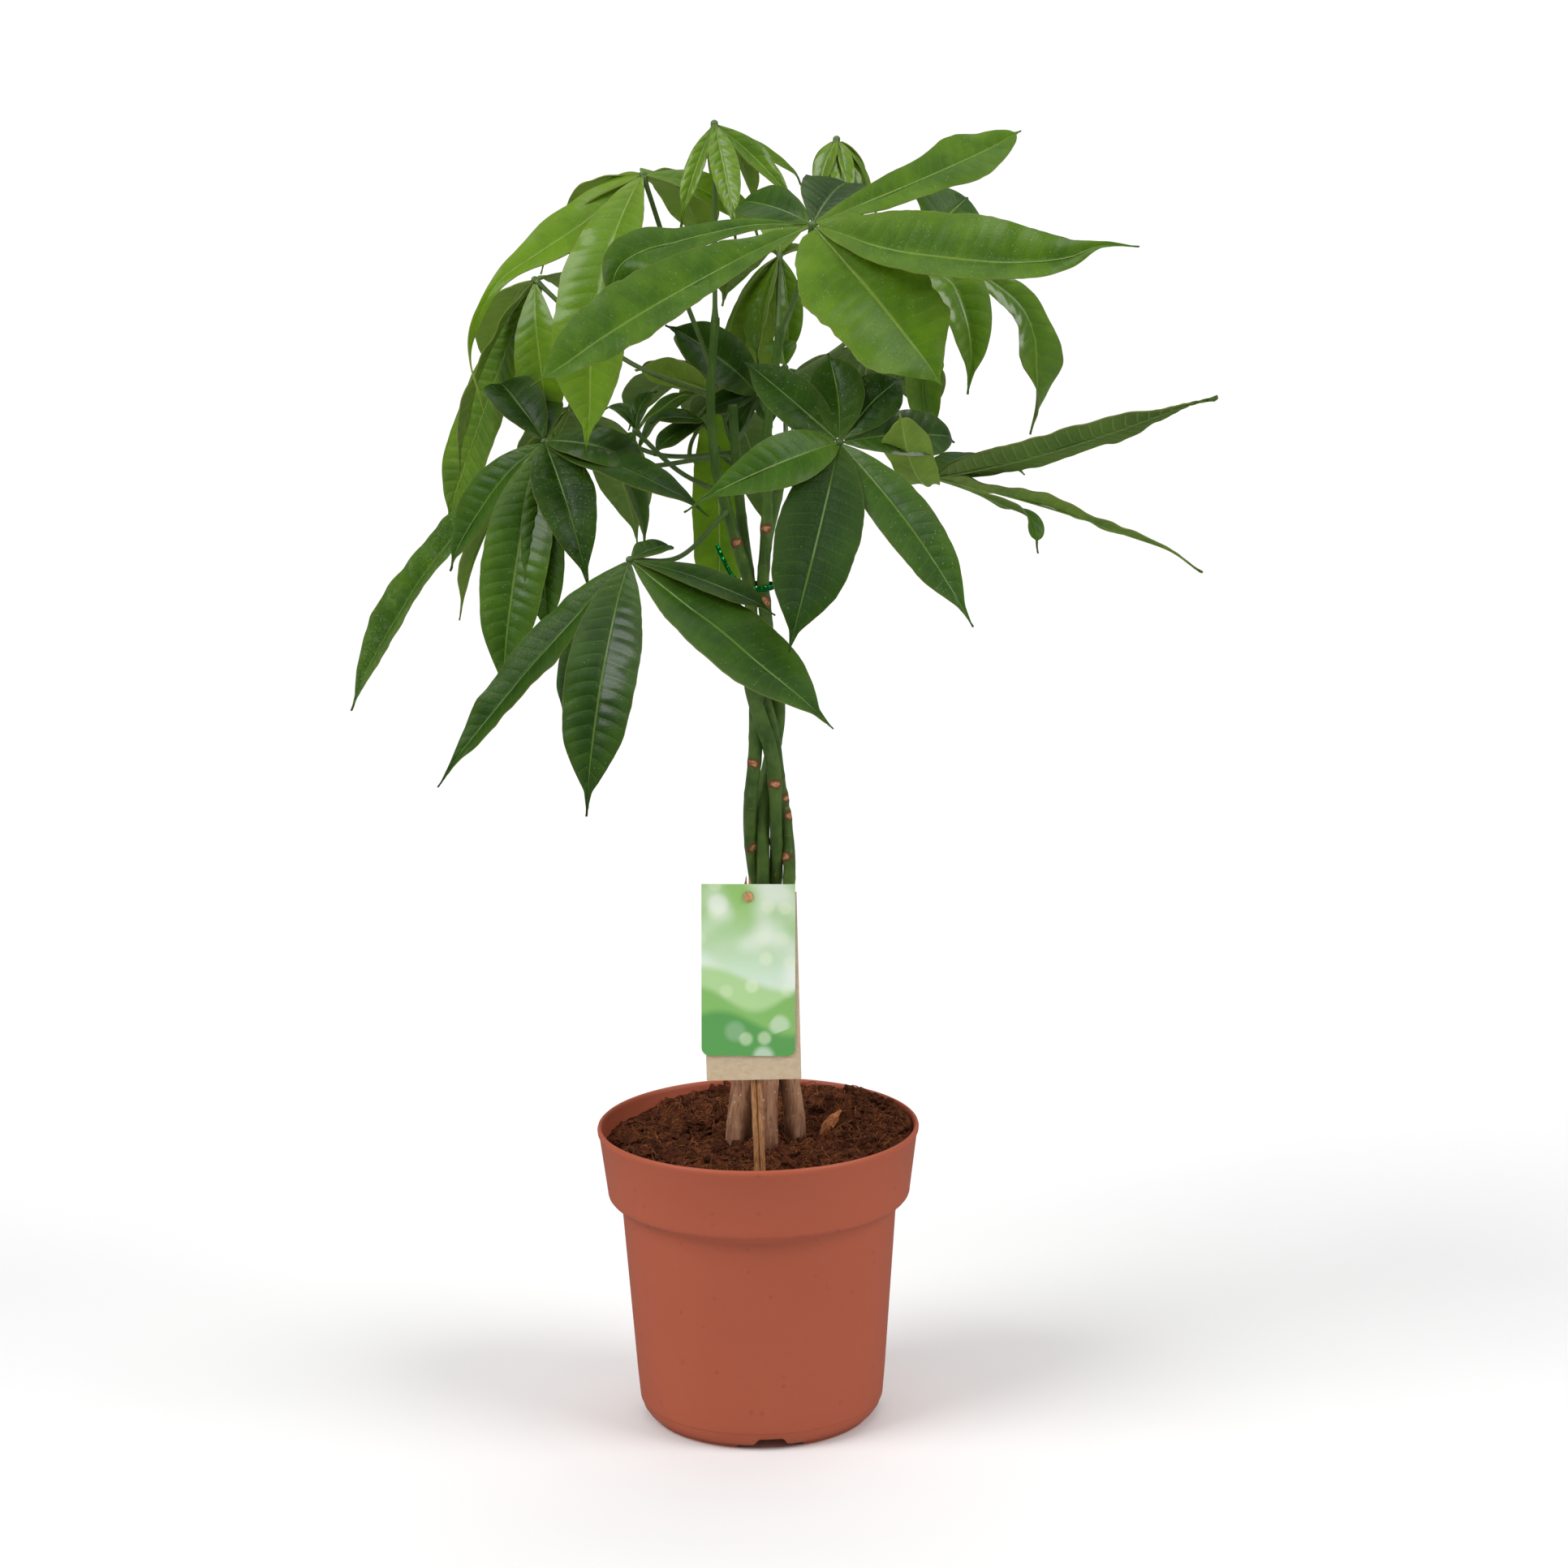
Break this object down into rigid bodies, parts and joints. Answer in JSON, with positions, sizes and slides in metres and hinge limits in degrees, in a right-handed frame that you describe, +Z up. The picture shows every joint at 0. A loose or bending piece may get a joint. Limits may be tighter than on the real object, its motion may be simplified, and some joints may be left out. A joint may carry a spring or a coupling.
{
  "type": "potted money tree",
  "caption": "Braided-stem money tree with palmate leaves, planted in a round plastic nursery pot with a plant tag on a stick.",
  "frame": {"origin": "on the ground under the middle of the pot", "axes": "+Z up along the plant, +X to the right and -Y towards the viewer of the picture, where the plant tag stands"},
  "size_m": [0.444, 0.3462, 0.6844],
  "materials": {
    "pot_plastic": "satin moulded terracotta-coloured plastic",
    "soil": "loose fibrous coir and peat",
    "stem": "smooth green bark with brown leaf scars, grey-brown at the foot",
    "leaf_bright": "young yellow-green leaf, satin",
    "leaf_dark": "older dark green leaf, glossy",
    "tie_foil": "metallic green foil",
    "card": "coated card with a soft green print",
    "board": "plain kraft board",
    "bamboo": "split bamboo"
  },
  "bodies": {
    "root": {"pot": "pot_plastic", "soil": "soil", "stem_1": "stem", "stem_2": "stem", "stem_3": "stem", "stem_4": "stem", "leaf_top": "leaf_bright", "leaf_top_right": "leaf_bright", "leaf_left_crown": "leaf_bright", "leaf_front_crown": "leaf_bright", "leaf_right_crown": "leaf_bright", "leaf_left_high": "leaf_bright", "leaf_high_back": "leaf_bright", "leaf_right_front": "leaf_dark", "leaf_right_far": "leaf_dark", "leaf_left_middle": "leaf_dark", "leaf_left_low": "leaf_dark", "leaf_left_back": "leaf_dark", "leaf_centre_back": "leaf_dark", "leaf_right_back": "leaf_dark", "twist_tie": "tie_foil", "tag_card": "card", "tag_board": "board", "tag_stick": "bamboo", "tag_pin": "bamboo"}
  },
  "joints": []
}
